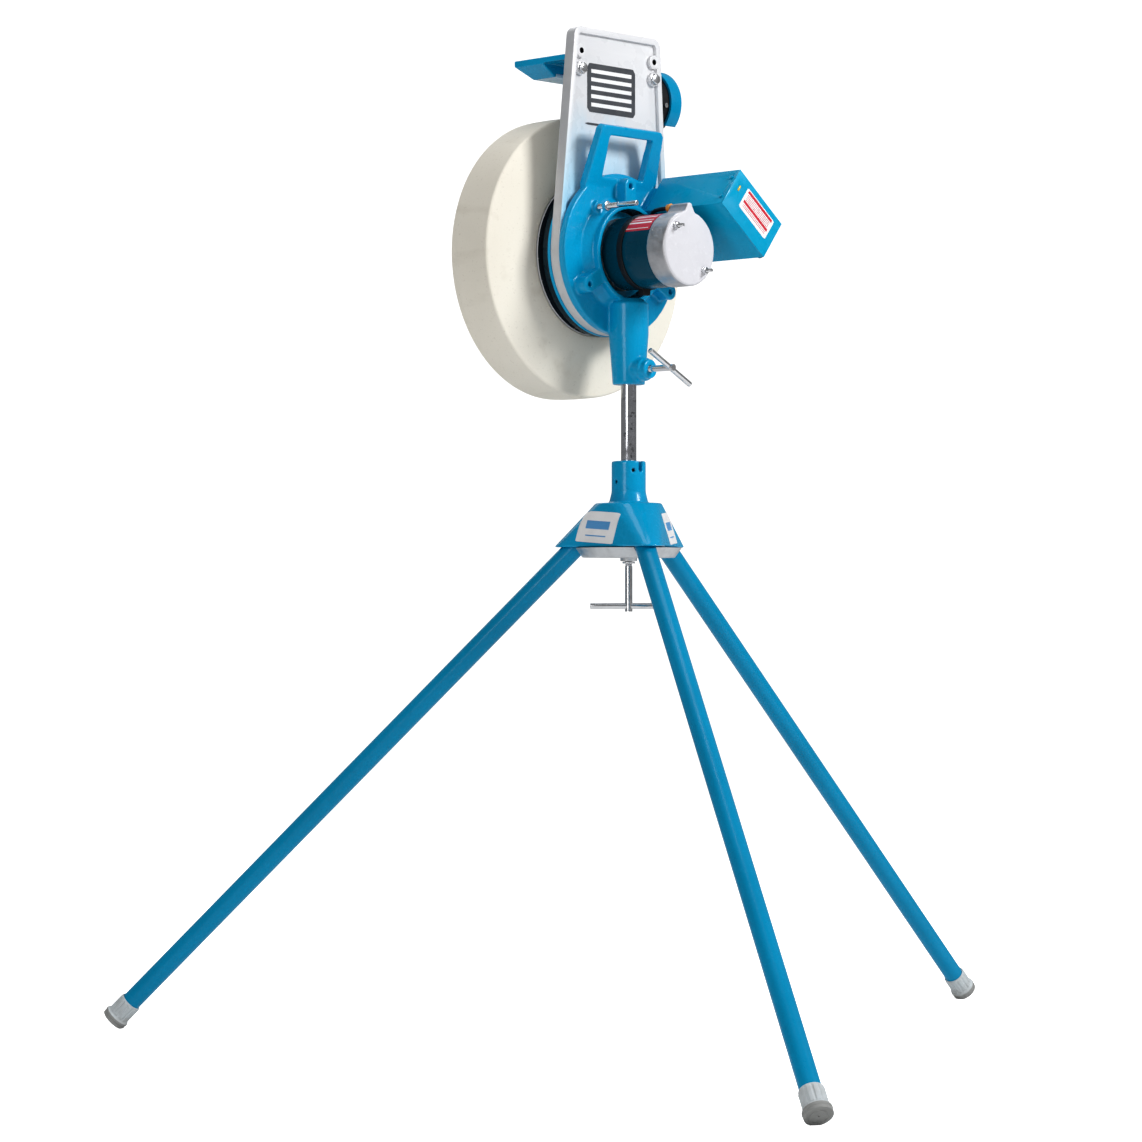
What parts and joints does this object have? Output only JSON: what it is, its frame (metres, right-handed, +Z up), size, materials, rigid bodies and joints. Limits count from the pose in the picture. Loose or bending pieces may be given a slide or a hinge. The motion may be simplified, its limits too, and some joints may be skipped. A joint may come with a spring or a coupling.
{
  "type": "baseball pitching machine",
  "caption": "Ball pitching machine: a motor-driven tyre and pressure pad on a panning head, with control box, on a three-legged stand.",
  "frame": {"origin": "on the floor directly under the vertical post", "axes": "+X is the direction the ball is thrown, -Y is the motor side, +Z up"},
  "size_m": [1.2076, 1.3884, 1.45],
  "materials": {
    "blue_paint": "gloss enamel on cast metal, light orange peel",
    "galvanised": "zinc-plated, satin",
    "chrome_post": "bright chrome plating",
    "zinc_fasteners": "bright zinc plating",
    "bearing_steel": "ground steel",
    "foot_rubber": "light grey moulded rubber",
    "tyre_rubber": "non-marking off-white tyre rubber, matt",
    "plate_white": "white enamel fading to light blue",
    "rim_steel": "silver painted pressed steel",
    "motor_paint": "dark teal enamel",
    "cap_paint": "light grey cast cover, satin",
    "motor_casting": "die cast",
    "magnet": "ferrite",
    "copper": "copper windings and bars",
    "brass": "turned brass",
    "black_rubber": "black moulded rubber",
    "black_plastic": "black moulded plastic",
    "red_plastic": "red moulded plastic",
    "amber_plastic": "amber lens",
    "orange_plastic": "orange-brown grommet",
    "urethane": "pale translucent urethane wear pad",
    "board_green": "circuit board laminate"
  },
  "bodies": {
    "tripod_hub": {"hub_casting": "blue_paint", "hub_set_screws": "zinc_fasteners", "post": "chrome_post"},
    "clamp_plate": {"clamp_plate": "galvanised"},
    "clamp_screw": {"clamp_screw": "zinc_fasteners", "clamp_tee": "zinc_fasteners"},
    "leg_front": {"leg_tube_front": "blue_paint", "foot_tip_front": "foot_rubber"},
    "leg_wheel_side": {"leg_tube_wheel_side": "blue_paint", "foot_tip_wheel_side": "foot_rubber"},
    "leg_motor_side": {"leg_tube_motor_side": "blue_paint", "foot_tip_motor_side": "foot_rubber"},
    "head": {"head_casting": "blue_paint", "rear_disc": "blue_paint", "rear_disc_screws": "zinc_fasteners", "motor_can": "motor_paint", "motor_drive_bell": "motor_casting", "motor_end_cap": "cap_paint", "motor_magnets": "magnet", "motor_brushes": "black_plastic", "motor_bearings": "bearing_steel", "motor_through_bolts": "zinc_fasteners", "motor_mount_bolts": "zinc_fasteners", "motor_strap": "black_rubber", "lead_grommet": "orange_plastic", "motor_lead": "black_rubber", "control_box": "blue_paint", "box_cover": "blue_paint", "box_screws": "zinc_fasteners", "speed_board": "board_green", "speed_pot": "black_plastic", "switch_body": "black_plastic", "pilot_light": "amber_plastic", "fuse_holder": "black_plastic", "power_inlet": "black_plastic"},
    "pan_clamp_pad": {"pan_clamp_pad": "brass"},
    "pan_clamp_screw": {"pan_clamp_screw": "zinc_fasteners", "pan_clamp_tee": "zinc_fasteners"},
    "elevation_lock_pad": {"elevation_lock_pad": "brass"},
    "elevation_lock_screw": {"elevation_lock_screw": "zinc_fasteners", "elevation_lock_nut": "zinc_fasteners"},
    "wheel": {"motor_shaft": "bearing_steel", "armature": "copper", "commutator": "copper", "wheel_hub": "bearing_steel", "rim_near_half": "rim_steel", "rim_far_half": "rim_steel", "rim_bolts": "zinc_fasteners", "shaft_nut": "zinc_fasteners", "valve_stem": "black_rubber", "tyre": "tyre_rubber"},
    "ball_guide": {"face_plate": "plate_white", "guide_bracket": "blue_paint", "pressure_pad": "urethane", "exit_tube": "black_rubber", "exit_band": "blue_paint", "guide_bolts": "zinc_fasteners", "tube_screws": "zinc_fasteners"},
    "speed_knob": {"speed_knob": "black_plastic"},
    "switch_rocker": {"switch_rocker": "red_plastic"}
  },
  "joints": [
    {"name": "head_pan", "type": "hinge", "parent": "tripod_hub", "child": "head", "pos_m": [0, 0, 0.963], "axis": [0, 0, 1], "continuous": true},
    {"name": "elevation", "type": "hinge", "parent": "head", "child": "ball_guide", "pos_m": [0, 0, 1.129], "axis": [0, -1, 0], "range_deg": [-8, 20]},
    {"name": "wheel_spin", "type": "hinge", "parent": "head", "child": "wheel", "pos_m": [0, 0.121, 1.129], "axis": [0, 1, 0], "continuous": true},
    {"name": "clamp_plate_slide", "type": "slide", "parent": "tripod_hub", "child": "clamp_plate", "axis": [0, 0, 1], "range_m": [-0.00476, 0]},
    {"name": "clamp_screw_turn", "type": "hinge", "parent": "clamp_plate", "child": "clamp_screw", "pos_m": [0, 0, 0.626], "axis": [0, 0, 1], "range_deg": [-1082, 0]},
    {"name": "pan_pad_slide", "type": "slide", "parent": "head", "child": "pan_clamp_pad", "axis": [0, 1, 0], "range_m": [-0.00317, 0]},
    {"name": "pan_clamp_turn", "type": "hinge", "parent": "pan_clamp_pad", "child": "pan_clamp_screw", "pos_m": [0, -0.05, 0.963], "axis": [0, 1, 0], "range_deg": [-722, 0]},
    {"name": "lock_pad_slide", "type": "slide", "parent": "head", "child": "elevation_lock_pad", "axis": [0, 1, 0], "range_m": [-0.00187, 0]},
    {"name": "elevation_lock_turn", "type": "hinge", "parent": "elevation_lock_pad", "child": "elevation_lock_screw", "pos_m": [-0.05192, 0, 1.19311], "axis": [0, 1, 0], "range_deg": [-542, 0]},
    {"name": "leg_front_slide", "type": "slide", "parent": "tripod_hub", "child": "leg_front", "axis": [0.7108, 0, -0.7034], "range_m": [0, 0.07]},
    {"name": "leg_wheel_side_slide", "type": "slide", "parent": "tripod_hub", "child": "leg_wheel_side", "axis": [-0.3554, 0.6156, -0.7034], "range_m": [0, 0.07]},
    {"name": "leg_motor_side_slide", "type": "slide", "parent": "tripod_hub", "child": "leg_motor_side", "axis": [-0.3554, -0.6156, -0.7034], "range_m": [0, 0.07]},
    {"name": "speed_knob_turn", "type": "hinge", "parent": "head", "child": "speed_knob", "pos_m": [0.11067, -0.112, 1.21784], "axis": [0.6157, 0, 0.788], "range_deg": [-280, 0]},
    {"name": "power_switch", "type": "hinge", "parent": "head", "child": "switch_rocker", "pos_m": [0.14034, -0.112, 1.19084], "axis": [0.788, 0, -0.6157], "range_deg": [-18, 0]}
  ],
  "couplings": [
    {"joint": "clamp_screw_turn", "follows": "clamp_plate_slide", "rad_per_m": 3957.9},
    {"joint": "pan_clamp_turn", "follows": "pan_pad_slide", "rad_per_m": 3957.9},
    {"joint": "elevation_lock_turn", "follows": "lock_pad_slide", "rad_per_m": 5026.5}
  ]
}
